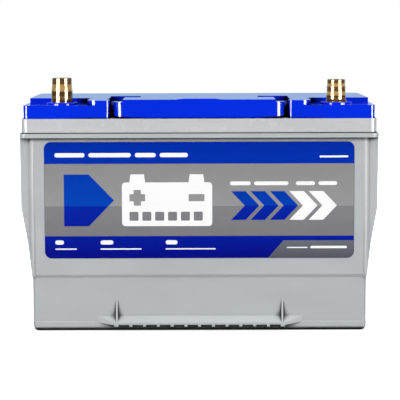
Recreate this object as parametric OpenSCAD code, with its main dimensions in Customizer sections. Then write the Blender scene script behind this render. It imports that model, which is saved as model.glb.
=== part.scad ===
/* [Container] */
// Overall length over the container flange, along X
flange_l = 317.5; // [310:0.5:324]
// Overall width over the container flange, along Y
flange_w = 173; // [170:1:178]
// Height of the flange's top face above the base
container_h = 176.9; // [172:0.1:180]
// Thickness of the flange
flange_t = 3.8; // [3:0.1:6]
// Half length of the container walls above the front step
upper_half_l = 150.9; // [150.4:0.1:151.4]
// Half width of the container walls above the front step
upper_half_w = 82.5; // [82.2:0.1:83]
// Half length of the container at its base
base_half_l = 148.3; // [147.2:0.1:148.8]
// Half width of the container at its base
base_half_w = 80; // [79.8:0.1:80.6]
// Height of the step where the upper walls overhang the lower ones
step_z = 51.1; // [40:0.1:60]
// Thickness of the container's walls and floor
wall = 3; // [2.6:0.1:3.2]
// Thickness of the partitions between the cells
partition_t = 2; // [1.6:0.2:2.4]
// Number of stiffening ribs on each end wall
end_rib_count = 7; // [3:2:9]
// Number of notches under each hold-down ledge
ledge_slot_count = 12; // [8:1:14]

/* [Covers] */
// Length of the primary cover's skirt
skirt_l = 314.2; // [313.6:0.1:315.6]
// Width of the primary cover's skirt
skirt_w = 170.4; // [169.8:0.1:171]
// Height of the primary cover's deck above the base
deck_z = 189.9; // [189:0.1:191]
// Length of the outer cover
cover_l = 310.5; // [309:0.5:312]
// Width of the outer cover
cover_w = 167; // [166:0.5:168]
// Height of the outer cover's plateau above the base
plateau_z = 206; // [205:0.1:207]
// Height of the floor of the terminal corners above the base
corner_floor_z = 201.6; // [201:0.1:202]
// Wall thickness of the outer cover
cover_wall = 2.5; // [2:0.1:2.8]

/* [Handle] */
// Half length of the handle's grip
grip_half_l = 75.6; // [74:0.1:77]
// Depth of the grip, front to back
grip_depth = 16; // [14:0.5:16.5]
// Height of the handle's pivot above the base
pivot_z = 196.9; // [196.6:0.1:197.4]
// Radius of the handle's trunnions
trunnion_r = 4; // [3.5:0.1:4.5]
// Radial running clearance of the trunnions in the cover
trunnion_clear = 0.06; // [0.04:0.01:0.1]
// Angle of the handle above its folded position
handle_angle = 0; // [0:1:120]

/* [Terminals] */
// Distance of each post's axis from the middle, along X
post_x = 123; // [122:0.1:125]
// Distance of each post's axis in front of the middle, along Y
post_y = 53.5; // [52:0.1:55]
// Radius of the positive post at its top
positive_top_r = 8.75; // [8.6:0.05:8.9]
// Radius of the negative post at its top
negative_top_r = 7.95; // [7.8:0.05:8.1]
// Height of the positive post's top above the base
positive_top_z = 225.2; // [223:0.1:226]
// Height of the negative post's top above the base
negative_top_z = 223.4; // [221:0.1:225]

/* [Cells] */
// Number of positive plates in each cell
positive_count = 7; // [5:1:8]
// Thickness of a positive plate
positive_t = 2.2; // [1.8:0.1:2.4]
// Thickness of a negative plate
negative_t = 1.7; // [1.4:0.1:1.8]
// Height of the plates
plate_h = 138; // [120:1:142]

/* [Hidden] */
$fn = 64;
eps = 0.01;
cell_count = 6;
cells = [1 : cell_count];

// Container outline
step_drop = 3;
upper_taper_z = 65;
lower_half_l = base_half_l + 0.6;
lower_half_w = base_half_w + 1.2;
plinth_h = 8.2;
plinth_out = 0.4;
base_edge_r = 4.2;
base_end_r = 6;
upper_corner_r = 7;
end_draft = 1.5;
end_draft_z = 95;
lower_corner_r = 5.5;
flange_corner_r = 6;
flange_low_z = container_h - flange_t;

// Cells inside the container
cavity_half_l = base_half_l - wall;
cavity_half_w = base_half_w - wall;
upper_cavity_half_l = upper_half_l - wall - 0.4;
upper_cavity_half_w = upper_half_w - wall;
upper_cavity_z = 58;
cell_l = (2 * cavity_half_l - (cell_count - 1) * partition_t) / cell_count;
cell_pitch = cell_l + partition_t;

// End ribs: how far they stand out, from the flange down to where they fade into the wall
end_rib_t = 3.5;
end_rib_span = 155.5;
end_rib_root = upper_half_l - 2;
end_rib_full_z = 110.8;
end_rib_knee_z = 77.2;
end_rib_knee_out = 152.4;
end_rib_foot_z = 58.4;
end_rib_foot_out = 150.3;

// Hold-down ledge along the foot of the front and back walls
ledge_out = 6.2;
ledge_root_z = 13.9;
ledge_lip_z = 8.2;
ledge_low_z = 4.7;
ledge_half_l = 75.9;
ledge_root_half_l = 91.6;
ledge_end_low_z = 6;
ledge_end_root_low_z = 8.5;
slot_l = 9.7;
slot_run = 144.6;
slot_depth = 5;
slot_top_z = 6.35;
gusset_x = 73.8;
gusset_t = 1.8;
gusset_bead_r = 0.8;
gusset_top_z = 30;
gusset_top_out = 0.6;

// Primary cover
joint_gap = 0.8;
joint_inset = 2;
skirt_corner_r = 6;
deck_t = 3;
collar_r = 15;
collar_top_z = 196;
bushing_r = 11.5;
bushing_flange_r = 14;
bushing_low_z = 183.5;
vent_y = 38;
vent_tube_r = 6;
vent_tube_h = 6;
vent_bore_r = 3;
valve_r = 8;
valve_skirt_gap = 0.5;
valve_roof_t = 1.5;

// Outer cover
cover_corner_r = 4;
plateau_end_inset = 1.1;
notch_x = 98.8;
notch_back_y = -28.5;
notch_inner_r = 5;
notch_block_r = 8.5;
recess_half_l = 79.3;
recess_edge_r = 3;
recess_back_y = -66.2;
channel_in_x = 68.3;
channel_out_x = 81.6;
pocket_in_x = 54.3;
pocket_out_x = 82.1;
pocket_half_y = 14;
pocket_floor_z = 191;
liner_t = 2.2;
pivot_block_out_x = 90;
pivot_block_half_y = 9;
post_boss_r = 13;
post_boss_edge_r = 1;
post_boss_h = 1.8;
post_fit = 0.2;
mark_size = 14;
mark_bar = 3;
mark_depth = 0.6;
mark_y = -10;
outlet_z = 197.2;
outlet_r = 1.5;
outlet_housing_r = 7;
outlet_housing_l = 6;
arrestor_r = 5;
arrestor_t = 2.5;
arrestor_seat = 2;
valve_pad_r = 3;
valve_pad_gap = 0.4;

// Handle
grip_front_y = -cover_w / 2;
grip_back_y = grip_front_y + grip_depth;
grip_corner_r = 8.5;
grip_low_z = 190.4;
grip_end_low_z = 192;
grip_flat_half_l = 45;
grip_top_z = 206.7;
grip_end_top_z = 204.6;
grip_shoulder_x = 68.1;
grip_shoulder_run = 2;
ridge_top_z = 207.5;
ridge_half_l = 21;
ridge_flat_half_l = 13.5;
grip_shell_t = 2.5;
grip_hollow_half_l = 63;
grip_hollow_top_z = 204;
grip_rib_t = 2;
grip_rib_count = 7;
arm_t = 6.3;
arm_in_x = grip_half_l - arm_t;
arm_front_y = -75;
hub_r = 5;
hub_out_x = 81.6;
trunnion_out_x = 87.1;

// Terminals
post_foot_z = 203.5;
post_chamfer = 0.5;
post_barrel_extra = 0.1;

// Turned bands of each post: how far below the top each one ends, and how much wider the post is there
positive_bands = [[5.6, 0.05], [11.9, 0.7], [positive_top_z - post_foot_z, 0.85]];
negative_bands = [
    [3.6, 0.05], [6.5, 0.4], [10.8, 0.45], [14, 0.8], [17.7, 0.85],
    [negative_top_z - post_foot_z, 1.5]
];

// Bore of a post and the riser inside it
post_bore_r = 5;
riser_r = 7;
lead_fit = 0.02;
riser_tip_drop = 0.4;
seal_out_r = 14;

// Plates, mats and straps
plate_low_z = 4;
plate_half_w = 73;
plate_top_z = plate_low_z + plate_h;
mat_half_w = 75;
mat_low_z = wall;
mat_top_z = plate_top_z + 2;
stack_clear = 0.2;
mat_clear = 0.01;
negative_count = positive_count + 1;
mat_count = 2 * positive_count;
mat_t = (cell_l - 2 * stack_clear - positive_count * positive_t - negative_count * negative_t) / mat_count;
plate_pitch = positive_t + negative_t + 2 * mat_t;
lug_w = 12;
strap_low_z = 152;
strap_h = 8;
strap_w = 14;
weld_tab_t = 5;
weld_tab_w = 18;
weld_tab_top_z = 172.6;
weld_z = 166;
weld_r = 5;

// Cell positions and polarity order along the container
function cell_x(i) = -cavity_half_l + cell_l / 2 + (i - 1) * cell_pitch;
function cell_left(i) = cell_x(i) - cell_l / 2;
function cell_right(i) = cell_x(i) + cell_l / 2;
function positive_side(i) = (i % 2 == 1) ? -1 : 1;
function negative_plate_x(i, n) = cell_left(i) + stack_clear + n * plate_pitch;
function positive_plate_x(i, n) = negative_plate_x(i, n) + negative_t + mat_t;

// A flat outline with rounded corners
module rounded_plan(l, w, r) {
    square([l - 2 * r, w], center = true);
    square([l, w - 2 * r], center = true);
    for (x = [-1, 1], y = [-1, 1])
        translate([x * (l / 2 - r), y * (w / 2 - r)])
            circle(r);
}

// A slab with rounded vertical corners, standing on z = 0
module slab(l, w, h, r) {
    linear_extrude(h)
        rounded_plan(l, w, r);
}

// Extrudes an outline drawn in (x, z) along the whole width
module along_y(w) {
    rotate([90, 0, 0])
        linear_extrude(w, center = true)
            children();
}

// Extrudes an outline drawn in (y, z) along the length
module along_x(l) {
    rotate([90, 0, 90])
        linear_extrude(l, center = true)
            children();
}

module both_ends() {
    children();
    mirror([1, 0, 0])
        children();
}

module both_sides() {
    children();
    mirror([0, 1, 0])
        children();
}

// Outline of the lower walls: rounded base edge, slight plinth, draft up to the step
module lower_outline(base_half, top_half, r) {
    foot = base_half + plinth_out;
    right = [[foot - r, 0], [foot, r], [foot, plinth_h], [base_half, plinth_h + plinth_out], [top_half, step_z - step_drop / 2]];
    both_ends()
        polygon(concat([[0, 0]], right, [[0, step_z - step_drop / 2]]));
    both_ends()
        translate([foot - r, r])
            circle(r);
}

module lower_body() {
    intersection() {
        along_y(2 * flange_w)
            lower_outline(base_half_l, lower_half_l, base_end_r);
        along_x(2 * flange_l)
            lower_outline(base_half_w, lower_half_w, base_edge_r);
        slab(2 * lower_half_l, 2 * lower_half_w, step_z, lower_corner_r);
    }
}

module upper_body() {
    low_z = step_z - step_drop;
    top_half_l = upper_half_l + end_draft;
    end_right = [
        [lower_half_l, low_z], [lower_half_l + 0.6, step_z], [upper_half_l, upper_taper_z],
        [top_half_l, end_draft_z], [top_half_l, container_h]
    ];
    front_right = [[lower_half_w, low_z], [upper_half_w, step_z], [upper_half_w, container_h]];
    intersection() {
        along_y(2 * flange_w)
            both_ends()
                polygon(concat([[0, low_z]], end_right, [[0, container_h]]));
        along_x(2 * flange_l)
            both_ends()
                polygon(concat([[0, low_z]], front_right, [[0, container_h]]));
        slab(2 * top_half_l, 2 * upper_half_w, container_h, upper_corner_r);
    }
}

// Vertical ribs on an end wall, flush with the flange and fading out towards the base
module end_ribs() {
    out = flange_l / 2;
    pitch = end_rib_span / (end_rib_count - 1);
    for (n = [0 : end_rib_count - 1])
        translate([0, n * pitch - end_rib_span / 2, 0])
            along_y(end_rib_t)
                polygon([
                    [end_rib_root, end_rib_foot_z], [end_rib_foot_out, end_rib_foot_z],
                    [end_rib_knee_out, end_rib_knee_z], [out - 0.4, end_rib_full_z],
                    [out, flange_low_z + eps], [end_rib_root, flange_low_z + eps]
                ]);
}

// Gusset in the plane x = 0: a web with a rounded bead along its sloping front edge
module gusset() {
    low_y = ledge_out - gusset_bead_r;
    top_y = gusset_top_out - gusset_bead_r;
    rise = gusset_top_z - ledge_lip_z;
    along_x(gusset_t)
        polygon([[-1, ledge_low_z], [low_y, ledge_low_z], [low_y, ledge_lip_z], [top_y, gusset_top_z], [-1, gusset_top_z]]);
    translate([0, low_y, ledge_low_z])
        cylinder(r = gusset_bead_r, h = ledge_lip_z - ledge_low_z);
    translate([0, low_y, ledge_lip_z])
        sphere(gusset_bead_r);
    translate([0, low_y, ledge_lip_z])
        rotate([atan2(low_y - top_y, rise), 0, 0])
            cylinder(r = gusset_bead_r, h = norm([low_y - top_y, rise]));
}

// Hold-down ledge of the back wall: sloping shelf, notched underneath, with its ends cut away diagonally
module hold_down_ledge() {
    pitch = (slot_run - slot_l) / (ledge_slot_count - 1);
    translate([0, base_half_w, 0]) {
        difference() {
            intersection() {
                union() {
                    along_x(2 * ledge_half_l)
                        polygon([
                            [-1, ledge_low_z], [ledge_out, ledge_low_z],
                            [ledge_out, ledge_lip_z], [0, ledge_root_z], [-1, ledge_root_z]
                        ]);
                    along_x(2 * ledge_root_half_l)
                        polygon([
                            [-1, ledge_end_root_low_z], [ledge_out, ledge_end_low_z],
                            [ledge_out, ledge_lip_z], [0, ledge_root_z], [-1, ledge_root_z]
                        ]);
                }
                linear_extrude(2 * ledge_root_z)
                    both_ends()
                        polygon([
                            [0, -2], [ledge_root_half_l, -2], [ledge_root_half_l, 0.2],
                            [ledge_half_l, ledge_out], [0, ledge_out]
                        ]);
            }
            for (n = [0 : ledge_slot_count - 1])
                translate([n * pitch - slot_run / 2, ledge_out - slot_depth, ledge_low_z - 1])
                    cube([slot_l, 2 * slot_depth, slot_top_z - ledge_low_z + 1]);
        }
        both_ends()
            translate([gusset_x, 0, 0])
                gusset();
    }
}

module cell_cavity(i) {
    left = (i == 1) ? -upper_cavity_half_l : cell_left(i);
    right = (i == cell_count) ? upper_cavity_half_l : cell_right(i);
    translate([cell_left(i), -cavity_half_w, wall])
        cube([cell_l, 2 * cavity_half_w, container_h]);
    translate([left, -upper_cavity_half_w, upper_cavity_z])
        cube([right - left, 2 * upper_cavity_half_w, container_h]);
}

// The rod through the partition on the right of cell i, at its intercell weld
module weld_rod(i, r, l) {
    translate([cell_right(i) + partition_t / 2, -positive_side(i) * post_y, weld_z])
        rotate([0, 90, 0])
            cylinder(r = r, h = l, center = true);
}

module container() {
    color([0.71, 0.73, 0.74])
        difference() {
            union() {
                lower_body();
                upper_body();
                translate([0, 0, flange_low_z])
                    slab(flange_l, flange_w, flange_t, flange_corner_r);
                both_ends()
                    end_ribs();
                both_sides()
                    hold_down_ledge();
            }
            for (i = cells)
                cell_cavity(i);
            for (i = [1 : cell_count - 1])
                weld_rod(i, weld_r, partition_t + 1);
        }
}

module primary_cover() {
    hollow_h = deck_z - deck_t - container_h;
    color([0.79, 0.80, 0.81])
        difference() {
            union() {
                difference() {
                    union() {
                        translate([0, 0, container_h])
                            slab(skirt_l - 2 * joint_inset, skirt_w - 2 * joint_inset, joint_gap + eps, skirt_corner_r - joint_inset);
                        translate([0, 0, container_h + joint_gap])
                            slab(skirt_l, skirt_w, deck_z - container_h - joint_gap, skirt_corner_r);
                    }
                    translate([0, 0, container_h - 1])
                        slab(2 * upper_cavity_half_l, 2 * upper_cavity_half_w, hollow_h + 1, 1);
                }
                for (i = [1 : cell_count - 1])
                    translate([cell_right(i), -upper_cavity_half_w - 1, container_h])
                        cube([partition_t, 2 * upper_cavity_half_w + 2, hollow_h + 1]);
                for (i = cells)
                    translate([cell_x(i), vent_y, deck_z - 1])
                        cylinder(r = vent_tube_r, h = vent_tube_h + 1);
                both_ends()
                    translate([post_x, -post_y, deck_z - 1])
                        cylinder(r = collar_r, h = collar_top_z - deck_z + 1);
            }
            for (i = cells)
                translate([cell_x(i), vent_y, deck_z - 2 * deck_t])
                    cylinder(r = vent_bore_r, h = 2 * deck_t + vent_tube_h + 1);
            both_ends()
                translate([post_x, -post_y, deck_z - 2 * deck_t])
                    cylinder(r = bushing_r, h = collar_top_z);
        }
}

module cover_plan(inset) {
    rounded_plan(cover_l - 2 * inset, cover_w - 2 * inset, cover_corner_r - inset);
}

// Region of one terminal corner, cut back to a rounded inner corner and a rounded block edge
module notch_plan(inset) {
    in_x = notch_x - inset;
    back_y = notch_back_y + inset;
    front_y = -cover_w / 2;
    difference() {
        union() {
            translate([in_x + notch_inner_r, -cover_w])
                square([cover_l, cover_w + back_y]);
            translate([in_x, -cover_w])
                square([cover_l, cover_w + back_y - notch_inner_r]);
            translate([in_x + notch_inner_r, back_y - notch_inner_r])
                circle(notch_inner_r);
        }
        translate([in_x - eps, front_y - eps])
            square(eps);
    }
    difference() {
        translate([in_x - notch_block_r, -cover_w])
            square([notch_block_r + eps, cover_w + front_y + inset + notch_block_r]);
        translate([in_x - notch_block_r, front_y + inset + notch_block_r])
            circle(notch_block_r);
    }
}

module plateau_plan(inset) {
    difference() {
        rounded_plan(cover_l - 2 * (inset + plateau_end_inset), cover_w - 2 * inset, cover_corner_r - inset);
        both_ends()
            notch_plan(inset);
    }
}

module cover_body() {
    translate([0, 0, deck_z])
        linear_extrude(corner_floor_z - deck_z)
            cover_plan(0);
    translate([0, 0, deck_z])
        linear_extrude(plateau_z - deck_z)
            plateau_plan(0);
}

module cover_hollow() {
    translate([0, 0, deck_z - 1])
        linear_extrude(corner_floor_z - cover_wall - deck_z + 1)
            cover_plan(cover_wall);
    translate([0, 0, deck_z - 1])
        linear_extrude(plateau_z - cover_wall - deck_z + 1)
            plateau_plan(cover_wall);
}

// A box given by its low and high corners
module box(low, high) {
    translate(low)
        cube(high - low);
}

// Walls around the handle recess, the arm channels and the pivot pockets
module recess_liners() {
    top_z = plateau_z - cover_wall / 2;
    box([-recess_half_l - liner_t, -cover_w / 2 + 1, deck_z], [recess_half_l + liner_t, recess_back_y + liner_t, top_z]);
    both_ends() {
        box([channel_in_x - liner_t, recess_back_y, deck_z], [channel_out_x + liner_t, 0, top_z]);
        box([pocket_in_x - liner_t, -pocket_half_y - liner_t, deck_z], [pocket_out_x + liner_t, pocket_half_y + liner_t, top_z]);
        box([pocket_out_x, -pivot_block_half_y, deck_z], [pivot_block_out_x, pivot_block_half_y, top_z]);
    }
}

// Handle recess, open to the front between rounded vertical edges
module recess_plan() {
    front_y = -cover_w / 2;
    translate([-recess_half_l, -cover_w])
        square([2 * recess_half_l, cover_w + recess_back_y]);
    both_ends()
        difference() {
            translate([recess_half_l - eps, -cover_w])
                square([recess_edge_r + eps, cover_w + front_y + recess_edge_r]);
            translate([recess_half_l + recess_edge_r, front_y + recess_edge_r])
                circle(recess_edge_r);
        }
}

module recess_cuts() {
    translate([0, 0, deck_z - 1])
        linear_extrude(plateau_z - deck_z + 2)
            recess_plan();
    both_ends() {
        box([channel_in_x, recess_back_y - 1, pocket_floor_z], [channel_out_x, 0, plateau_z + 1]);
        box([pocket_in_x, -pocket_half_y, pocket_floor_z], [pocket_out_x, pocket_half_y, plateau_z + 1]);
    }
}

// Rounded collar that stands on the corner floor around a post
module post_boss() {
    translate([post_x, -post_y, 0]) {
        translate([0, 0, corner_floor_z - cover_wall])
            cylinder(r = post_boss_r, h = cover_wall + post_boss_h);
        translate([0, 0, corner_floor_z - cover_wall])
            cylinder(r = post_boss_r + post_boss_edge_r, h = cover_wall + post_boss_h - post_boss_edge_r);
        translate([0, 0, corner_floor_z + post_boss_h - post_boss_edge_r])
            rotate_extrude()
                translate([post_boss_r, 0])
                    circle(post_boss_edge_r, $fn = 32);
    }
}

// Plus and minus signs sunk into the plateau behind the posts
module polarity_marks() {
    translate([0, mark_y, plateau_z]) {
        translate([-post_x, 0, 0])
            cube([mark_bar, mark_size, 2 * mark_depth], center = true);
        both_ends()
            translate([post_x, 0, 0])
                cube([mark_size, mark_bar, 2 * mark_depth], center = true);
    }
}

module gas_outlet_rod(low_x, l, r) {
    translate([low_x, vent_y, outlet_z])
        rotate([0, 90, 0])
            cylinder(r = r, h = l);
}

module top_cover() {
    inner_x = cover_l / 2 - cover_wall;
    housing_x = inner_x - outlet_housing_l;
    pad_low_z = deck_z + vent_tube_h + valve_roof_t + valve_pad_gap;
    color([0.0, 0.18, 0.85])
        difference() {
            union() {
                difference() {
                    cover_body();
                    cover_hollow();
                }
                recess_liners();
                both_ends()
                    post_boss();
                both_ends()
                    gas_outlet_rod(housing_x, outlet_housing_l + 1, outlet_housing_r);
                for (i = cells)
                    translate([cell_x(i), vent_y, pad_low_z])
                        cylinder(r = valve_pad_r, h = plateau_z - cover_wall / 2 - pad_low_z);
            }
            recess_cuts();
            translate([-post_x, -post_y, deck_z])
                cylinder(r = post_barrel_r(positive_top_r, positive_bands) + post_fit, h = plateau_z);
            translate([post_x, -post_y, deck_z])
                cylinder(r = post_barrel_r(negative_top_r, negative_bands) + post_fit, h = plateau_z);
            both_ends()
                translate([pocket_out_x - 1, 0, pivot_z])
                    rotate([0, 90, 0])
                        cylinder(r = trunnion_r + trunnion_clear, h = trunnion_out_x - pocket_out_x + 1.5);
            both_ends() {
                gas_outlet_rod(housing_x - 1, outlet_housing_l + 1 - arrestor_seat, arrestor_r);
                gas_outlet_rod(housing_x, outlet_housing_l + 2 * cover_wall, outlet_r);
            }
            polarity_marks();
        }
}

// Seen from the front: low ends, a flat top and a raised thumb ridge in the middle
module grip_outline() {
    both_ends()
        polygon([
            [0, grip_low_z], [grip_flat_half_l, grip_low_z], [grip_half_l, grip_end_low_z],
            [grip_half_l, grip_end_top_z], [grip_shoulder_x, grip_end_top_z],
            [grip_shoulder_x - grip_shoulder_run, grip_top_z], [ridge_half_l, grip_top_z],
            [ridge_flat_half_l, ridge_top_z], [0, ridge_top_z]
        ]);
}

module grip_plan() {
    corner_x = grip_half_l - grip_corner_r;
    corner_y = grip_front_y + grip_corner_r;
    translate([-corner_x, grip_front_y])
        square([2 * corner_x, grip_depth]);
    translate([-grip_half_l, corner_y])
        square([2 * grip_half_l, grip_depth - grip_corner_r]);
    both_ends()
        translate([corner_x, corner_y])
            circle(grip_corner_r);
}

module grip() {
    rib_pitch = 2 * grip_hollow_half_l / (grip_rib_count + 1);
    difference() {
        intersection() {
            linear_extrude(2 * plateau_z)
                grip_plan();
            along_y(2 * cover_w)
                grip_outline();
        }
        box(
            [-grip_hollow_half_l, grip_front_y + grip_shell_t, grip_low_z - 1],
            [grip_hollow_half_l, grip_back_y - grip_shell_t, grip_hollow_top_z]
        );
    }
    for (n = [1 : grip_rib_count])
        translate([n * rib_pitch - grip_hollow_half_l - grip_rib_t / 2, grip_front_y + 1, grip_low_z + 1.5])
            cube([grip_rib_t, grip_depth - 2, grip_hollow_top_z - grip_low_z - 1]);
}

// One arm of the handle with its hub and trunnion, on the right
module handle_arm() {
    translate([arm_in_x + arm_t / 2, 0, 0])
        along_x(arm_t)
            polygon([
                [arm_front_y, grip_end_low_z], [0, pivot_z - hub_r], [0, pivot_z + hub_r],
                [grip_back_y, grip_end_top_z - 0.4], [arm_front_y, grip_end_top_z]
            ]);
    translate([arm_in_x, 0, pivot_z])
        rotate([0, 90, 0])
            cylinder(r = hub_r, h = hub_out_x - arm_in_x);
    translate([arm_in_x, 0, pivot_z])
        rotate([0, 90, 0])
            cylinder(r = trunnion_r, h = trunnion_out_x - arm_in_x);
}

module handle() {
    color([0.0, 0.2, 0.9])
        translate([0, 0, pivot_z])
            rotate([-handle_angle, 0, 0])
                translate([0, 0, -pivot_z]) {
                    grip();
                    both_ends()
                        handle_arm();
                }
}

// Printed film on the front wall
label_l = 274.5;
label_h = 103.4;
label_low_z = 65.8;
label_t = 0.3;
label_corner_r = 6;

module label() {
    color([0.0, 0.15, 0.6])
        translate([0, -upper_half_w, label_low_z + label_h / 2])
            rotate([90, 0, 0])
                linear_extrude(label_t)
                    rounded_plan(label_l, label_h, label_corner_r);
}

// A post widens downwards in turned bands, to a barrel that passes through the outer cover
function post_barrel_r(top_r, bands) = top_r + bands[len(bands) - 1][1] + post_barrel_extra;

module post(top_r, top_z, bands) {
    barrel_r = post_barrel_r(top_r, bands);
    steps = [for (n = [len(bands) - 1 : -1 : 0]) [top_r + bands[n][1], top_z - bands[n][0]]];
    color([0.80, 0.62, 0.28])
        rotate_extrude()
            polygon(concat(
                [[post_bore_r + lead_fit, collar_top_z], [barrel_r, collar_top_z], [barrel_r, post_foot_z]],
                steps,
                [[top_r, top_z - post_chamfer], [top_r - post_chamfer, top_z], [post_bore_r + lead_fit, top_z]]
            ));
}

module positive_post() {
    translate([-post_x, -post_y, 0])
        post(positive_top_r, positive_top_z, positive_bands);
}

module negative_post() {
    translate([post_x, -post_y, 0])
        post(negative_top_r, negative_top_z, negative_bands);
}

module ring(in_r, out_r, low_z, high_z) {
    translate([0, 0, low_z])
        difference() {
            cylinder(r = out_r, h = high_z - low_z);
            translate([0, 0, -1])
                cylinder(r = in_r, h = high_z - low_z + 2);
        }
}

// Lead bushing held in the primary cover, with a flange under its deck
module bushing(x) {
    color([0.45, 0.46, 0.48])
        translate([x, -post_y, 0]) {
            ring(riser_r + lead_fit, bushing_r - lead_fit, bushing_low_z, collar_top_z);
            ring(riser_r + lead_fit, bushing_flange_r, bushing_low_z, deck_z - deck_t);
        }
}

module positive_bushing() {
    bushing(-post_x);
}

module negative_bushing() {
    bushing(post_x);
}

// Rubber ring squeezed between a collar of the primary cover and the outer cover's floor
module post_seal(x, in_r) {
    color([0.08, 0.08, 0.08])
        translate([x, -post_y, 0])
            ring(in_r, seal_out_r, collar_top_z, corner_floor_z - cover_wall);
}

module positive_post_seal() {
    post_seal(-post_x, post_barrel_r(positive_top_r, positive_bands) + lead_fit);
}

module negative_post_seal() {
    post_seal(post_x, post_barrel_r(negative_top_r, negative_bands) + lead_fit);
}

// Porous disc that stops a flame from passing back through the gas outlet
module flame_arrestor() {
    color([0.85, 0.84, 0.80])
        gas_outlet_rod(cover_l / 2 - cover_wall - arrestor_seat - arrestor_t, arrestor_t, arrestor_r - lead_fit);
}

module left_flame_arrestor() {
    mirror([1, 0, 0])
        flame_arrestor();
}

module right_flame_arrestor() {
    flame_arrestor();
}

// Rubber cap stretched over a vent tube
module vent_valve(i) {
    top_z = deck_z + vent_tube_h + valve_roof_t;
    color([0.12, 0.12, 0.12])
        translate([cell_x(i), vent_y, 0])
            difference() {
                translate([0, 0, deck_z + valve_skirt_gap])
                    cylinder(r = valve_r, h = top_z - deck_z - valve_skirt_gap);
                translate([0, 0, deck_z])
                    cylinder(r = vent_tube_r + lead_fit, h = vent_tube_h);
            }
}

// One plate with its lug, its left face at x
module plate(x, t, side) {
    box([x, -plate_half_w, plate_low_z], [x + t, plate_half_w, plate_top_z]);
    box([x, side * post_y - lug_w / 2, plate_top_z - 1], [x + t, side * post_y + lug_w / 2, strap_low_z]);
}

module positive_plates(i) {
    color([0.35, 0.22, 0.16])
        for (n = [0 : positive_count - 1])
            plate(positive_plate_x(i, n), positive_t, positive_side(i));
}

module negative_plates(i) {
    color([0.50, 0.51, 0.53])
        for (n = [0 : negative_count - 1])
            plate(negative_plate_x(i, n), negative_t, -positive_side(i));
}

// Glass mats between the plates, which hold the acid
module separators(i) {
    color([0.93, 0.93, 0.90])
        for (n = [0 : positive_count - 1], x = [positive_plate_x(i, n) - mat_t, positive_plate_x(i, n) + positive_t])
            box([x + mat_clear, -mat_half_w, mat_low_z], [x + mat_t - mat_clear, mat_half_w, mat_top_z]);
}

// Bar cast over the lugs of one polarity, from low_x to high_x
module strap_bar(low_x, high_x, side) {
    box([low_x, side * post_y - strap_w / 2, strap_low_z], [high_x, side * post_y + strap_w / 2, strap_low_z + strap_h]);
}

// Upright tab that is welded through the partition
module weld_tab(low_x, side) {
    box([low_x, side * post_y - weld_tab_w / 2, strap_low_z], [low_x + weld_tab_t, side * post_y + weld_tab_w / 2, weld_tab_top_z]);
}

// Lead column from an end cell's strap up into its post
module riser(x, post_top_z) {
    translate([x, -post_y, strap_low_z]) {
        cylinder(r = riser_r, h = collar_top_z - strap_low_z);
        cylinder(r = post_bore_r, h = post_top_z - riser_tip_drop - strap_low_z);
    }
}

module positive_strap(i) {
    side = positive_side(i);
    low_x = (i == 1) ? positive_plate_x(i, 0) : cell_left(i) + lead_fit;
    color([0.55, 0.56, 0.58]) {
        strap_bar(low_x, positive_plate_x(i, positive_count - 1) + positive_t, side);
        if (i == 1)
            riser(-post_x, positive_top_z);
        else
            weld_tab(cell_left(i) + lead_fit, side);
    }
}

module negative_strap(i) {
    side = -positive_side(i);
    high_x = (i == cell_count) ? negative_plate_x(i, positive_count) + negative_t : cell_right(i) - lead_fit;
    color([0.55, 0.56, 0.58]) {
        strap_bar(negative_plate_x(i, 0), high_x, side);
        if (i == cell_count)
            riser(post_x, negative_top_z);
        else
            weld_tab(cell_right(i) - weld_tab_t - lead_fit, side);
    }
}

// Plug of lead through a partition, between two weld tabs
module intercell_weld(i) {
    color([0.6, 0.61, 0.63])
        weld_rod(i, weld_r - lead_fit, partition_t);
}

container();
primary_cover();
top_cover();
handle();
label();
positive_post();
negative_post();
positive_bushing();
negative_bushing();
positive_post_seal();
negative_post_seal();
left_flame_arrestor();
right_flame_arrestor();
for (i = cells) {
    vent_valve(i);
    positive_plates(i);
    negative_plates(i);
    separators(i);
    positive_strap(i);
    negative_strap(i);
}
for (i = [1 : cell_count - 1])
    intercell_weld(i);
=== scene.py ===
"""Deep cycle battery: finishes, printed label, studio and camera on the CAD frame."""

import math

import bmesh
import bpy
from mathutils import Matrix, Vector


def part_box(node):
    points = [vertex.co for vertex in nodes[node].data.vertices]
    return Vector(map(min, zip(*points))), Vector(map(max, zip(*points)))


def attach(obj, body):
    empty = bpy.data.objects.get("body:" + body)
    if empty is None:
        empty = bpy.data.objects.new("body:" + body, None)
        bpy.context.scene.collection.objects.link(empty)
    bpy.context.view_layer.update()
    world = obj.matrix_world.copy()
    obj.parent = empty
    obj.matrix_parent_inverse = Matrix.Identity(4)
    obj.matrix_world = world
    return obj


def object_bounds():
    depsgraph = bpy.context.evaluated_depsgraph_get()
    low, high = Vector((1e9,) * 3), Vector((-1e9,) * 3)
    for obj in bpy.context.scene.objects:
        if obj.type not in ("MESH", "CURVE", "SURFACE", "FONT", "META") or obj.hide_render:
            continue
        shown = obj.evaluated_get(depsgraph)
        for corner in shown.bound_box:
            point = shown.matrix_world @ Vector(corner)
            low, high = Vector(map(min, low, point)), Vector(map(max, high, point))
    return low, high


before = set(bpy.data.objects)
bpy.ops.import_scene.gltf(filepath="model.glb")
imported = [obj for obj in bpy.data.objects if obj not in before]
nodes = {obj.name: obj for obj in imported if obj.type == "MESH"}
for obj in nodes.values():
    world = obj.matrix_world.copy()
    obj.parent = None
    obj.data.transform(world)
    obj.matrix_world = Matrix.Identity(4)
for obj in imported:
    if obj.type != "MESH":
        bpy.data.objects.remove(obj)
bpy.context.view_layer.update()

MM = 0.001
WHITE = (1.0, 1.0, 1.0)
BLACK = (0.0, 0.0, 0.0)


# ---------------------------------------------------------------- node trees


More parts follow.
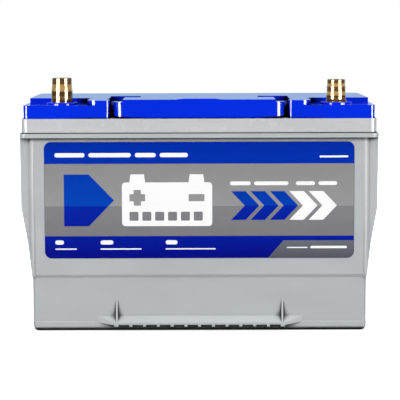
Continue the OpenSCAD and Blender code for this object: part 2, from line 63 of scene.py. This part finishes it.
def rgba(value):
    """A colour with its alpha; anything else stays as it is."""
    if isinstance(value, tuple) and len(value) == 3:
        return (*value, 1.0)
    return value


def shade(colour, factor):
    """A colour made lighter or darker."""
    return tuple(min(1.0, c * factor) for c in colour)


class Nodes:
    """Short calls that add nodes to a material's or a world's tree."""

    def __init__(self, tree):
        self.tree = tree

    def feed(self, socket, value):
        """Links a socket to the value, or sets it; None leaves its default."""
        if isinstance(value, bpy.types.NodeSocket):
            self.tree.links.new(value, socket)
        elif value is not None:
            socket.default_value = value

    def node(self, kind, inputs=None, **settings):
        made = self.tree.nodes.new("ShaderNode" + kind)
        for key, value in settings.items():
            setattr(made, key, value)
        for key, value in (inputs or {}).items():
            self.feed(made.inputs[key], value)
        return made

    def math(self, operation, a, b=0.0):
        return self.node("Math", {0: a, 1: b}, operation=operation).outputs[0]

    def span(self, value, low, high, start=0.3, end=0.7, curve="LINEAR"):
        """Value remapped from start..end to low..high, clamped."""
        inputs = {
            "Value": value,
            "From Min": start,
            "From Max": end,
            "To Min": low,
            "To Max": high,
        }
        return self.node("MapRange", inputs, interpolation_type=curve).outputs[0]


class Shader(Nodes):
    """One procedural material: a Principled BSDF with nodes put in front of it."""

    def __init__(self, name):
        self.material = bpy.data.materials.new(name)
        self.material.use_nodes = True
        super().__init__(self.material.node_tree)
        self.bsdf = self.tree.nodes["Principled BSDF"]
        self.place = self.node("TexCoord").outputs["Object"]
        self.normal = None

    def stretched(self, scale):
        """Object coordinates, scaled on each axis."""
        return self.node("Mapping", {"Vector": self.place, "Scale": scale}).outputs[0]

    def axis(self, name):
        """One of the object coordinates: X, Y or Z."""
        return self.node("SeparateXYZ", {"Vector": self.place}).outputs[name]

    def noise(self, size_mm, detail=3.0, rough=0.55, vector=None, distort=0.0):
        """Noise whose features are about size_mm across, 0 to 1."""
        inputs = {
            "Vector": vector or self.place,
            "Scale": 1.0 / (size_mm * MM),
            "Detail": detail,
            "Roughness": rough,
            "Distortion": distort,
        }
        return self.node("TexNoise", inputs).outputs["Fac"]

    def cells(self, size_mm):
        """Distance from the middle of packed cells about size_mm across."""
        inputs = {"Vector": self.place, "Scale": 1.0 / (size_mm * MM)}
        return self.node("TexVoronoi", inputs, feature="F1").outputs["Distance"]

    def mix(self, factor, a, b):
        made = self.node("Mix", data_type="RGBA", blend_type="MIX")
        self.feed(made.inputs[0], factor)
        self.feed(made.inputs[6], rgba(a))
        self.feed(made.inputs[7], rgba(b))
        return made.outputs[2]

    def bump(self, height, depth_mm, strength=1.0):
        """Adds a layer of relief, depth_mm deep from height 0 to 1."""
        inputs = {"Height": height, "Distance": depth_mm * MM, "Strength": strength}
        made = self.node("Bump", inputs)
        if self.normal is not None:
            self.feed(made.inputs["Normal"], self.normal)
        self.normal = made.outputs[0]

    def edges(self, radius_mm):
        """1 on sharp convex and concave edges, 0 on flats."""
        rounded_normal = self.node("Bevel", {"Radius": radius_mm * MM}, samples=6)
        normals = {
            0: rounded_normal.outputs[0],
            1: self.node("NewGeometry").outputs["Normal"],
        }
        dot = self.node("VectorMath", normals, operation="DOT_PRODUCT")
        return self.span(dot.outputs["Value"], 1.0, 0.0, 0.80, 0.995)

    def open_to_light(self, reach_mm):
        """1 on open surfaces, down to 0 in gaps and corners about reach_mm across."""
        made = self.node("AmbientOcclusion", {"Distance": reach_mm * MM}, samples=8)
        return self.span(made.outputs["AO"], 0.0, 1.0, 0.55, 0.86)

    def finish(self, **inputs):
        """Sets the BSDF's inputs, named with _ for each space."""
        for key, value in inputs.items():
            socket = self.bsdf.inputs[key.replace("_", " ")]
            self.feed(socket, rgba(value) if socket.type == "RGBA" else value)
        if self.normal is not None:
            self.feed(self.bsdf.inputs["Normal"], self.normal)
        return self.material


# ---------------------------------------------------------------- finishes


def moulded_plastic(
    name,
    colour,
    roughness,
    grain_mm,
    gap_mm,
    gap_shade,
    coat=0.0,
    lit_past_mm=None,
    gloss=0.5,
):
    """Injection moulded plastic: tool grain, flow marks, scuffs and painted edge
    highlights.

    grain_mm is the depth of the grain. Gaps and inner corners about gap_mm across
    get painted shade, down to gap_shade times their colour, and reflect less.
    Further than lit_past_mm from the object's middle they hardly darken.
    """
    lit_fade_mm, lit_openness = 9, 0.85
    s = Shader(name)
    flow = s.noise(38, 2.0, 0.5, vector=s.stretched((0.5, 1.0, 1.6)))
    specks = s.span(s.noise(1.2, 4.0, 0.6), 0.0, 0.35, 0.45, 0.75)
    tone = s.mix(s.span(flow, 0.0, 1.0), shade(colour, 0.955), shade(colour, 1.03))
    tone = s.mix(specks, tone, shade(colour, 0.9))
    open_ = s.open_to_light(gap_mm)
    # Painted highlight: sharp edges that are open to light are lightened.
    edge_highlight = s.math("MULTIPLY", s.edges(0.7), open_)
    tone = s.mix(s.math("MULTIPLY", edge_highlight, 0.45), tone, shade(colour, 1.45))
    if lit_past_mm:
        outwards = s.math("ABSOLUTE", s.axis("X"))
        start, end = lit_past_mm * MM, (lit_past_mm + lit_fade_mm) * MM
        lit = s.span(outwards, 0.0, lit_openness, start, end)
        open_ = s.math("MAXIMUM", open_, lit)
    # Painted shade: gaps and inner corners are darkened towards black.
    tone = s.mix(s.span(open_, gap_shade, 1.0, 0.0, 1.0), BLACK, tone)

    scuffs = s.noise(9, 5.0, 0.7, vector=s.stretched((0.3, 1.0, 2.4)), distort=0.6)
    scuffed = s.math("MULTIPLY", s.span(scuffs, 0.0, 1.0, 0.62, 0.78), roughness * 0.25)
    rough = s.span(s.noise(14, 4.0, 0.6), roughness * 0.88, roughness * 1.14)
    s.bump(s.noise(55, 1.0, 0.4), 0.04, 0.3)
    s.bump(s.noise(0.45, 2.0, 0.5), grain_mm, 0.6)
    return s.finish(
        Base_Color=tone,
        Roughness=s.math("ADD", rough, scuffed),
        IOR=1.46,
        Specular_IOR_Level=s.span(open_, 0.0, gloss, 0.0, 1.0),
        Coat_Weight=s.math("MULTIPLY", open_, coat),
        Coat_Roughness=0.06,
    )


def printed_film(name, low_colour, high_colour, low_mm, high_mm, glow=0.0):
    """Printed film: a vertical ink gradient, faint screen dots and a wavy gloss.

    The gradient runs from low_mm to high_mm above the floor. glow makes the ink give off
    light of its high colour: painted light.
    """
    s = Shader(name)
    height = s.span(s.axis("Z"), 0.0, 1.0, low_mm * MM, high_mm * MM)
    dots = s.span(s.cells(0.22), 0.10, 0.0, 0.1, 0.5)
    blotches = s.span(s.noise(16, 3.0, 0.6), 0.0, 0.10)
    tone = s.mix(height, low_colour, high_colour)
    tone = s.mix(dots, tone, shade(high_colour, 1.6))
    tone = s.mix(blotches, tone, shade(low_colour, 0.5))
    s.bump(s.noise(24, 2.0, 0.5), 0.02, 0.2)
    s.bump(s.noise(0.5, 2.0, 0.5), 0.001, 0.3)
    return s.finish(
        Base_Color=tone,
        Roughness=s.span(s.noise(7, 4.0, 0.65), 0.153, 0.216),
        IOR=1.30,
        Emission_Color=high_colour,
        Emission_Strength=glow,
    )


def turned_brass(name, top, reflection_bands):
    """Lacquered turned brass: brown, with tool rings, tarnish and bands of painted
    reflection.

    Each band is its start and stop in mm below the top, and its strength.
    """
    bright, brown, dull = (1.0, 0.62, 0.22), (0.09, 0.045, 0.010), (0.14, 0.08, 0.025)
    s = Shader(name)
    depth = s.math("SUBTRACT", top, s.axis("Z"))
    tone = s.mix(s.span(s.noise(5, 3.0, 0.6), 0.0, 0.5), brown, shade(brown, 2.5))
    # Painted reflection: each band is lightened towards bright brass.
    for start, stop, strength in reflection_bands:
        begun = s.span(depth, 0.0, strength, (start - 0.3) * MM, (start + 0.3) * MM)
        left = s.span(depth, 1.0, 0.0, (stop - 0.5) * MM, (stop + 0.5) * MM)
        tone = s.mix(s.math("MULTIPLY", begun, left), tone, bright)
    stains = s.noise(2.4, 5.0, 0.7, distort=0.5)
    tone = s.mix(s.span(stains, 0.0, 0.35, 0.62, 0.80), tone, dull)
    tool_rings = s.noise(0.3, 2.0, 0.5, vector=s.stretched((0.03, 0.03, 1.0)))
    tone = s.mix(s.span(tool_rings, 0.0, 0.25), tone, dull)
    s.bump(tool_rings, 0.0012, 0.5)
    s.bump(s.noise(2.5, 2.0, 0.5), 0.003, 0.3)
    return s.finish(
        Base_Color=tone,
        Metallic=0.4,
        Roughness=s.span(s.noise(3, 4.0, 0.6), 0.10, 0.18),
        Anisotropic=0.3,
        Coat_Weight=0.8,
        Coat_Roughness=0.08,
    )


def cast_lead(name, colour, metallic, roughness):
    """Cast lead: pitted skin, bright rubs and a chalky oxide bloom."""
    oxide = (0.5, 0.5, 0.5)
    s = Shader(name)
    bloom = s.noise(6, 5.0, 0.65)
    tone = s.mix(s.span(bloom, 0.0, 0.7), colour, oxide)
    tone = s.mix(s.math("MULTIPLY", s.edges(0.5), 0.3), tone, shade(colour, 1.6))
    rough = s.span(bloom, roughness - 0.1, roughness + 0.12)
    s.bump(s.noise(0.9, 5.0, 0.7), 0.09, 0.5)
    return s.finish(Base_Color=tone, Metallic=metallic, Roughness=rough)


def pasted_plate(name, paste, lead):
    """Battery plate: dry paste pressed into a cast grid of wires."""
    s = Shader(name)
    facing = {"Vector": s.place, "Rotation": (0, math.pi / 2, 0)}
    grid = {
        "Vector": s.node("Mapping", facing).outputs[0],
        "Scale": 1.0,
        "Mortar Size": 0.6 * MM,
        "Brick Width": 12 * MM,
        "Row Height": 6 * MM,
    }
    wires = s.node("TexBrick", grid).outputs["Fac"]
    lumps = s.span(s.noise(3, 5.0, 0.7), 0.0, 1.0)
    tone = s.mix(wires, s.mix(lumps, shade(paste, 0.75), shade(paste, 1.2)), lead)
    s.bump(s.noise(0.7, 5.0, 0.7), 0.12, 0.6)
    rough = s.span(s.noise(2, 3.0, 0.6), 0.6, 0.9)
    return s.finish(Base_Color=tone, Roughness=rough)


def fibrous_mat(name, colour):
    """Absorbent glass mat: tangled fibres, seen as fine streaks both ways."""
    s = Shader(name)
    across = s.noise(0.5, 5.0, 0.7, vector=s.stretched((1.0, 0.12, 1.0)))
    along = s.noise(0.5, 5.0, 0.7, vector=s.stretched((1.0, 1.0, 0.12)))
    fibres = s.math("MAXIMUM", across, along)
    tone = s.mix(s.span(fibres, 0.0, 1.0, 0.45, 0.75), shade(colour, 0.82), colour)
    rough = s.span(fibres, 0.95, 0.8)
    s.bump(fibres, 0.1, 0.7)
    return s.finish(Base_Color=tone, Roughness=rough, Sheen_Weight=0.25)


def moulded_rubber(name, colour):
    """Black rubber: matt skin with talc bloom and tiny pores."""
    talc = (0.20, 0.20, 0.21)
    s = Shader(name)
    bloom = s.noise(4, 5.0, 0.65)
    tone = s.mix(s.span(bloom, 0.0, 0.3, 0.4, 0.75), colour, talc)
    s.bump(s.noise(0.6, 4.0, 0.6), 0.04, 0.6)
    return s.finish(Base_Color=tone, Roughness=s.span(bloom, 0.62, 0.82), IOR=1.52)


def sintered_frit(name, colour):
    """Porous sintered plastic: packed beads with dark gaps."""
    s = Shader(name)
    beads = s.cells(0.45)
    tone = s.mix(s.span(beads, 0.0, 1.0, 0.2, 0.6), colour, shade(colour, 0.35))
    s.bump(s.math("SUBTRACT", 1.0, beads), 0.15, 0.8)
    return s.finish(Base_Color=tone, Roughness=s.span(s.noise(2), 0.7, 0.9))


CASE_GREY, COVER_GREY = (0.514, 0.541, 0.557), (0.615, 0.625, 0.645)
COVER_BLUE = (0.0, 0.029, 0.84)
FILM_LOW_BLUE, FILM_HIGH_BLUE = (0.0, 0.002, 0.235), (0.0, 0.012, 0.37)

# For each material slot but the posts' brass, the function that makes it and its values
FINISHES = {
    "container_plastic": (
        moulded_plastic,
        {
            "colour": CASE_GREY,
            "roughness": 0.32,
            "grain_mm": 0.008,
            "gap_mm": 6.5,
            "gap_shade": 0.05,
            "gloss": 0.28,
        },
    ),
    "cover_grey_plastic": (
        moulded_plastic,
        {
            "colour": COVER_GREY,
            "roughness": 0.26,
            "grain_mm": 0.006,
            "gap_mm": 3,
            "gap_shade": 0.10,
        },
    ),
    "cover_blue_plastic": (
        moulded_plastic,
        {
            "colour": COVER_BLUE,
            "roughness": 0.12,
            "grain_mm": 0.001,
            "gap_mm": 14,
            "gap_shade": 0.0,
            "coat": 0.3,
            "lit_past_mm": 105,
        },
    ),
    "handle_blue_plastic": (
        moulded_plastic,
        {
            "colour": COVER_BLUE,
            "roughness": 0.13,
            "grain_mm": 0.001,
            "gap_mm": 5,
            "gap_shade": 0.0,
            "coat": 0.3,
        },
    ),
    "label_film": (
        printed_film,
        {
            "low_colour": FILM_LOW_BLUE,
            "high_colour": FILM_HIGH_BLUE,
            "low_mm": 65.8,
            "high_mm": 85,
        },
    ),
    "bushing_lead": (
        cast_lead,
        {"colour": (0.30, 0.31, 0.33), "metallic": 0.8, "roughness": 0.45},
    ),
    "strap_lead": (
        cast_lead,
        {"colour": (0.42, 0.43, 0.45), "metallic": 0.85, "roughness": 0.40},
    ),
    "seal_rubber": (moulded_rubber, {"colour": (0.012, 0.012, 0.013)}),
    "valve_rubber": (moulded_rubber, {"colour": (0.02, 0.02, 0.021)}),
    "arrestor_frit": (sintered_frit, {"colour": (0.72, 0.71, 0.66)}),
    "positive_plate": (
        pasted_plate,
        {"paste": (0.12, 0.05, 0.03), "lead": (0.30, 0.30, 0.32)},
    ),
    "negative_plate": (
        pasted_plate,
        {"paste": (0.26, 0.27, 0.29), "lead": (0.40, 0.41, 0.43)},
    ),
    "glass_mat": (fibrous_mat, {"colour": (0.85, 0.85, 0.82)}),
}
# The bands of painted reflection on each post: start and stop in mm below its top, and
# strength
POST_BANDS = {
    "positive_post": [(0, 5.6, 0.10), (5.6, 11.9, 0.85), (16, 19, 0.2)],
    "negative_post": [
        (0, 3.6, 0.12),
        (3.6, 6.5, 1.0),
        (6.5, 10.8, 0.12),
        (10.8, 14.2, 1.0),
        (16, 18, 0.2),
    ],
}

finishes = {slot: make(slot, **values) for slot, (make, values) in FINISHES.items()}
brasses = {
    post: turned_brass(post + "_brass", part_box(post)[1].z, bands)
    for post, bands in POST_BANDS.items()
}
for node, part in nodes.items():
    for slot in part.material_slots:
        if slot.material is not None:
            slot_name = slot.material.name.split(".")[0]
            slot.link = "OBJECT"
            slot.material = brasses.get(node) or finishes[slot_name]


# ---------------------------------------------------------------- moulded edges

# The width of the rounding on each shell's sharp edges, mm
EDGE_WIDTHS = {"container": 0.5, "primary_cover": 0.5, "top_cover": 0.35, "handle": 0.6}


def soften(part, width_mm):
    """Rounds a CAD node's sharp edges, as a mould leaves them, with modifiers only."""
    weld = part.modifiers.new("weld", "WELD")
    weld.merge_threshold = 0.01 * MM
    flat = part.modifiers.new("flat", "DECIMATE")
    flat.decimate_type = "DISSOLVE"
    flat.angle_limit = math.radians(0.5)
    rounding = part.modifiers.new("rounding", "BEVEL")
    rounding.width = width_mm * MM
    rounding.segments = 2
    rounding.limit_method = "ANGLE"
    rounding.angle_limit = math.radians(28)
    rounding.use_clamp_overlap = True
    rounding.miter_outer = "MITER_ARC"
    rounding.harden_normals = False
    even = part.modifiers.new("even", "WEIGHTED_NORMAL")
    even.keep_sharp = False
    even.weight = 80


for node, width_mm in EDGE_WIDTHS.items():
    soften(nodes[node], width_mm)


# ---------------------------------------------------------------- printed label
# Label sizes are in mm: x from the film's middle, z up from its foot.

LAYER, LIFT = 0.05, 0.01  # pitch of the print layers, and the gap behind each
INSET = 0.10  # from the film's edge to the print
CORNER = 5.8  # radius of the print's outer corners
BAND_LOW, GREY_SPLIT, BAND_TOP = 19.8, 46.5, 84.2
label_low, label_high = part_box("label")
half = label_high.x / MM - INSET
top = (label_high.z - label_low.z) / MM - INSET


def rounded(x0, z0, x1, z1, radii=(0, 0, 0, 0), steps=8):
    """A rectangle's outline. Radii go low left, low right, high right, high left."""
    corners = [
        (x0, z0, 1, 1, 180),
        (x1, z0, -1, 1, 270),
        (x1, z1, -1, -1, 0),
        (x0, z1, 1, -1, 90),
    ]
    outline = []
    for (x, z, inward_x, inward_z, start), r in zip(corners, radii):
        arc_x, arc_z = x + inward_x * r, z + inward_z * r
        for n in range(steps + 1 if r else 1):
            turn = math.radians(start + 90 * n / steps)
            outline.append((arc_x + r * math.cos(turn), arc_z + r * math.sin(turn)))
    return outline


def pill(x0, x1, z, height):
    """A bar with round ends."""
    radius = height * 0.49
    return rounded(x0, z - height / 2, x1, z + height / 2, [radius] * 4, 5)


def ink(name, low_colour, high_colour, low, high, glow=0.0):
    """An ink whose gradient runs from low to high on the film."""
    foot = label_low.z / MM
    return printed_film(name, low_colour, high_colour, foot + low, foot + high, glow)


def printed(name, shapes, layer, finish):
    """Thin closed patches of ink on the film. A shape is an outline and its holes."""
    made = bmesh.new()
    back = label_low.y - (layer - 1) * LAYER * MM - LIFT * MM
    front = label_low.y - layer * LAYER * MM
    for loops in shapes:
        rim = []
        for loop in loops:
            points = [(x * MM, front, label_low.z + z * MM) for x, z in loop]
            verts = [made.verts.new(point) for point in points]
            rim += [made.edges.new(ends) for ends in zip(verts, verts[1:] + verts[:1])]
        filled = bmesh.ops.triangle_fill(
            made, use_beauty=True, use_dissolve=False, edges=rim
        )
        faces = [f for f in filled["geom"] if isinstance(f, bmesh.types.BMFace)]
        grown = bmesh.ops.extrude_face_region(made, geom=faces, use_keep_orig=True)
        for v in grown["geom"]:
            if isinstance(v, bmesh.types.BMVert):
                v.co.y = back
    bmesh.ops.recalc_face_normals(made, faces=made.faces[:])
    mesh = bpy.data.meshes.new(name)
    made.to_mesh(mesh)
    made.free()
    mesh.materials.append(finish)
    piece = bpy.data.objects.new(name, mesh)
    bpy.context.scene.collection.objects.link(piece)
    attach(piece, "case")


# The white ink glows a little: painted light that keeps it bright white.
white_ink = ink("white_ink", (0.95, 0.95, 0.95), (0.99, 0.99, 0.99), 0, 100, glow=0.10)

# The ground: a blue band, two greys and a dark tab whose left edge leans
TAB_LOW, TAB_TOP = 0.25, 15.7
tab = rounded(0, TAB_LOW, half, TAB_TOP, (0, CORNER, 0, 0))
tab[0], tab[-1] = (61.2, TAB_LOW), (74.6, TAB_TOP)
printed(
    "label_top_band",
    [[rounded(-half, BAND_TOP, half, top, (0, 0, CORNER, CORNER))]],
    1,
    ink("band_ink", (0.0, 0.033, 0.47), (0.0, 0.028, 0.43), BAND_TOP, top),
)
printed(
    "label_grey_upper",
    [[rounded(-half, GREY_SPLIT, half, BAND_TOP)]],
    1,
    ink(
        "upper_grey_ink",
        (0.350, 0.347, 0.350),
        (0.300, 0.294, 0.294),
        GREY_SPLIT,
        BAND_TOP,
    ),
)
printed(
    "label_grey_lower",
    [[rounded(-half, BAND_LOW, half, GREY_SPLIT)]],
    1,
    ink(
        "lower_grey_ink",
        (0.222, 0.221, 0.236),
        (0.252, 0.251, 0.268),
        BAND_LOW,
        GREY_SPLIT,
    ),
)
printed(
    "label_corner_tab",
    [[tab]],
    1,
    ink("tab_ink", (0.10, 0.106, 0.13), (0.165, 0.175, 0.205), 0, TAB_TOP),
)

# A pentagonal arrow pointing right, in two blues that meet where the greys do
ARROW_LEFT, ARROW_SHOULDER, ARROW_TIP = -120.0, -98.0, -75.6
ARROW_LOW, ARROW_TOP = 28.7, 74.8
arrow_middle = (ARROW_TOP + ARROW_LOW) / 2
slope = (ARROW_TIP - ARROW_SHOULDER) / (ARROW_TOP - arrow_middle)
split_x = ARROW_TIP - slope * (arrow_middle - GREY_SPLIT)
arrow_upper = [
    (ARROW_LEFT, GREY_SPLIT),
    (split_x, GREY_SPLIT),
    (ARROW_TIP, arrow_middle),
    (ARROW_SHOULDER, ARROW_TOP),
    (ARROW_LEFT, ARROW_TOP),
]
arrow_lower = [
    (ARROW_LEFT, ARROW_LOW),
    (ARROW_SHOULDER, ARROW_LOW),
    (split_x, GREY_SPLIT),
    (ARROW_LEFT, GREY_SPLIT),
]
printed(
    "label_arrow_upper",
    [[arrow_upper]],
    2,
    ink(
        "light_blue_ink",
        (0.0, 0.062, 0.52),
        (0.0, 0.045, 0.47),
        GREY_SPLIT,
        ARROW_TOP,
    ),
)
printed(
    "label_arrow_lower",
    [[arrow_lower]],
    2,
    ink(
        "dark_blue_ink",
        (0.0, 0.012, 0.37),
        (0.0, 0.02, 0.42),
        ARROW_LOW,
        GREY_SPLIT,
    ),
)

# A battery pictogram as tall as the arrow, with a plus, a minus and six cells cut out.
# A sign reaches SIGN_REACH from its middle, and its strokes are two half widths wide.
PICTOGRAM_LEFT, PICTOGRAM_RIGHT, PICTOGRAM_SHOULDER = -68.6, 11.4, 67.6
PLUS_X, MINUS_X, SIGN_Z = -55.0, -2.5, 54.0
SIGN_REACH, SIGN_HALF_WIDTH = 7.0, 3.2
STUD_WIDTH, STUD_TAPER = 14.0, 1.0
CELL_LEFT, CELL_LOW, CELL_SIZE, CELL_PITCH = -62, 33.5, 8, 11.4
arm, side = SIGN_REACH, SIGN_HALF_WIDTH
plus_corners = [
    (-arm, -side),
    (-side, -side),
    (-side, -arm),
    (side, -arm),
    (side, -side),
    (arm, -side),
    (arm, side),
    (side, side),
    (side, arm),
    (-side, arm),
    (-side, side),
    (-arm, side),
]
plus = [(PLUS_X + x, SIGN_Z + z) for x, z in plus_corners]
minus = rounded(MINUS_X - arm, SIGN_Z - side, MINUS_X + arm, SIGN_Z + side)
cells = []
for n in range(6):
    left = CELL_LEFT + CELL_PITCH * n
    corner = (left, CELL_LOW, left + CELL_SIZE, CELL_LOW + CELL_SIZE)
    cells.append(rounded(*corner, (1, 1, 1, 1), 4))
body = rounded(
    PICTOGRAM_LEFT, ARROW_LOW, PICTOGRAM_RIGHT, PICTOGRAM_SHOULDER, (3, 3, 3, 3)
)
last_corner = len(body) - len(body) // 4
for right in (PLUS_X + STUD_WIDTH / 2, MINUS_X + STUD_WIDTH / 2):
    left = right - STUD_WIDTH
    body[last_corner:last_corner] = [
        (right, PICTOGRAM_SHOULDER),
        (right - STUD_TAPER, ARROW_TOP),
        (left + STUD_TAPER, ARROW_TOP),
        (left, PICTOGRAM_SHOULDER),
    ]
printed("label_pictogram", [[body, plus, minus] + cells], 2, white_ink)

# Five chevrons pointing right: three in two blues, then two white
CHEVRON_LOW, CHEVRON_TOP = 34.0, 59.6
CHEVRON_STROKE, CHEVRON_DEPTH = 12.8, 12.1
CHEVRON_LEFT, CHEVRON_PITCH = 28.2, 17.2
chevron_xs = [CHEVRON_LEFT + CHEVRON_PITCH * n for n in range(5)]


def chevron(x):
    """A chevron's two lower corners, its notch, its tip and its two upper corners."""
    middle = (CHEVRON_LOW + CHEVRON_TOP) / 2
    notch = (x + CHEVRON_DEPTH, middle)
    tip = (x + CHEVRON_DEPTH + CHEVRON_STROKE, middle)
    low = [(x, CHEVRON_LOW), (x + CHEVRON_STROKE, CHEVRON_LOW)]
    high = [(x + CHEVRON_STROKE, CHEVRON_TOP), (x, CHEVRON_TOP)]
    return low, notch, tip, high


def chevron_upper(x):
    _, notch, tip, (right, left) = chevron(x)
    return [left, notch, tip, right]


def chevron_lower(x):
    low, notch, tip, _ = chevron(x)
    return [*low, tip, notch]


def chevron_whole(x):
    low, notch, tip, high = chevron(x)
    return [*low, tip, *high, notch]


printed(
    "label_chevrons_upper",
    [[chevron_upper(x)] for x in chevron_xs[:3]],
    2,
    ink(
        "light_chevron_ink",
        (0.0, 0.05, 0.50),
        (0.0, 0.045, 0.46),
        GREY_SPLIT,
        CHEVRON_TOP,
    ),
)
printed(
    "label_chevrons_lower",
    [[chevron_lower(x)] for x in chevron_xs[:3]],
    2,
    ink(
        "dark_chevron_ink",
        (0.0, 0.014, 0.38),
        (0.0, 0.02, 0.42),
        CHEVRON_LOW,
        GREY_SPLIT,
    ),
)
printed(
    "label_chevrons_white",
    [[chevron_whole(x)] for x in chevron_xs[3:]],
    2,
    white_ink,
)

# Bars that stand for lines of text: each row's height and thickness, and its bars
BARS = [
    (91.9, 3.8, [(-128.1, -101.5), (-98.0, -60.5), (-57.0, -38.5), (-35.0, -10.0)]),
    (90.3, 1.7, [(106.5, 131.9)]),
    (66.6, 3.4, [(27.2, 45.5), (48.5, 79.0), (85.5, 102.5), (105.5, 122.2)]),
    (14.2, 3.8, [(-128.1, -120.4), (-87.9, -76.5), (-30.0, -19.5)]),
    (8.3, 1.1, [(-128.1, -109.0), (-87.9, -51.5), (-30.0, 14.5)]),
    (9.3, 1.1, [(77.5, 96.0)]),
    (9.6, 2.2, [(98.5, 131.0)]),
]
pills = [[pill(x0, x1, z, height)] for z, height, ends in BARS for x0, x1 in ends]
printed("label_lines", pills, 2, white_ink)


# ---------------------------------------------------------------- floor and light

FLOOR_RADII, FLOOR_SECTORS = (0.5, 1.5, 4.0), 96
visible_low, visible_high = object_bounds()
centre = (visible_low + visible_high) / 2


def floor_disc(height):
    """A flat disc of rings of faces round the object."""
    made = bmesh.new()
    middle = made.verts.new((0.0, 0.0, height))
    turns = [2 * math.pi * n / FLOOR_SECTORS for n in range(FLOOR_SECTORS)]
    rings = [
        [made.verts.new((r * math.cos(t), r * math.sin(t), height)) for t in turns]
        for r in FLOOR_RADII
    ]
    for n in range(FLOOR_SECTORS):
        after = (n + 1) % FLOOR_SECTORS
        made.faces.new((middle, rings[0][n], rings[0][after]))
        for inner, outer in zip(rings, rings[1:]):
            made.faces.new((inner[n], outer[n], outer[after], inner[after]))
    mesh = bpy.data.meshes.new("stage")
    made.to_mesh(mesh)
    made.free()
    return mesh


def studio_paper():
    """Pale paper that fades into the white background. The object sees it dark."""
    s = Shader("studio_paper")
    to_camera = s.node("LightPath").outputs["Is Camera Ray"]
    tone = s.mix(to_camera, (0.05, 0.05, 0.05), (0.86, 0.86, 0.86))
    distance = s.node("VectorMath", {0: s.place}, operation="LENGTH").outputs["Value"]
    glow = s.math("MULTIPLY", to_camera, s.span(distance, 0.55, 1.0, 0.16, 0.32))
    return s.finish(
        Base_Color=tone,
        Roughness=s.span(s.noise(60, 4.0, 0.6), 0.80, 0.84),
        Emission_Color=WHITE,
        Emission_Strength=glow,
    )


def softbox(name, azimuth, height, distance, size, radiance, mirrored=False):
    """A soft box that faces the object, which the camera doesn't see.

    Azimuth 0 is in front and positive to the right. It lights matt surfaces only,
    or, if mirrored, shows in glossy ones only.
    """
    data = bpy.data.lights.new(name, "AREA")
    data.shape = "RECTANGLE"
    data.size, data.size_y = size
    data.energy = radiance * math.pi * size[0] * size[1]
    lamp = bpy.data.objects.new(name, data)
    turn = math.radians(azimuth)
    place = (distance * math.sin(turn), -distance * math.cos(turn), height)
    lamp.location = place
    lamp.rotation_mode = "QUATERNION"
    lamp.rotation_quaternion = (centre - Vector(place)).to_track_quat("-Z", "Y")
    lamp.visible_camera = False
    lamp.visible_diffuse = not mirrored
    lamp.visible_glossy = mirrored
    bpy.context.scene.collection.objects.link(lamp)


stage = bpy.data.objects.new("stage", floor_disc(visible_low.z))
stage.data.materials.append(studio_paper())
bpy.context.scene.collection.objects.link(stage)

# name, azimuth, height, distance, size and radiance
softbox("overhead", 0, 1.6, 0.25, (1.2, 1.0), 1.1)
softbox("left_box", -42, 0.5, 1.6, (0.8, 1.0), 5.85)
softbox("right_box", 48, 0.5, 1.6, (0.8, 1.0), 5.65)
softbox("rear_box", 180, 0.5, 1.6, (1.4, 0.8), 3.0)
softbox("left_glint", -45, 0.225, 1.5, (0.8, 0.43), 24, mirrored=True)
softbox("right_glint", 47, 0.225, 1.5, (0.8, 0.43), 24, mirrored=True)


# ---------------------------------------------------------------- sky and camera

SKY_BLUE = (0.63, 0.88, 1.0)
EASED = "SMOOTHSTEP"

# The object sees a white sky overhead and a pale blue band low behind it. The camera,
# where it looks past the floor, sees plain white.
world = bpy.data.worlds.new("studio")
world.use_nodes = True
bpy.context.scene.world = world
w = Nodes(world.node_tree)
direction = w.node("TexCoord").outputs["Generated"]
towards = w.node("SeparateXYZ", {"Vector": direction}).outputs
overhead = w.span(towards["Z"], 0.02, 0.75, 0.25, 0.85, EASED)
behind = w.span(towards["Y"], 0.0, 0.64, 0.3, 0.9, EASED)
near_horizon = w.span(towards["Z"], 1.0, 0.0, 0.05, 0.45, EASED)
band = w.math("MULTIPLY", behind, near_horizon)
zenith = w.node("Background", {"Color": rgba(WHITE), "Strength": overhead})
horizon = w.node("Background", {"Color": rgba(SKY_BLUE), "Strength": band})
backdrop = w.node("Background", {"Color": rgba(WHITE), "Strength": 1.0})
sky = w.node("AddShader", {0: zenith.outputs[0], 1: horizon.outputs[0]})
either = {
    0: w.node("LightPath").outputs["Is Camera Ray"],
    1: sky.outputs[0],
    2: backdrop.outputs[0],
}
seen = w.node("MixShader", either)
w.feed(w.tree.nodes["World Output"].inputs["Surface"], seen.outputs[0])

LENS_MM, SENSOR_MM = 157.8, 36.0
LOOKS_DOWN, ROLL = math.radians(5.68), math.radians(0.15)
camera_data = bpy.data.cameras.new("camera")
camera_data.lens = LENS_MM
camera_data.sensor_width = SENSOR_MM
camera_data.clip_end = 50.0
camera = bpy.data.objects.new("camera", camera_data)
camera.location = (0.0010, -1.6295, 0.2715)
camera.rotation_euler = (math.pi / 2 - LOOKS_DOWN, ROLL, 0.0)
bpy.context.scene.collection.objects.link(camera)
bpy.context.scene.camera = camera
bpy.context.scene.view_settings.view_transform = "Standard"
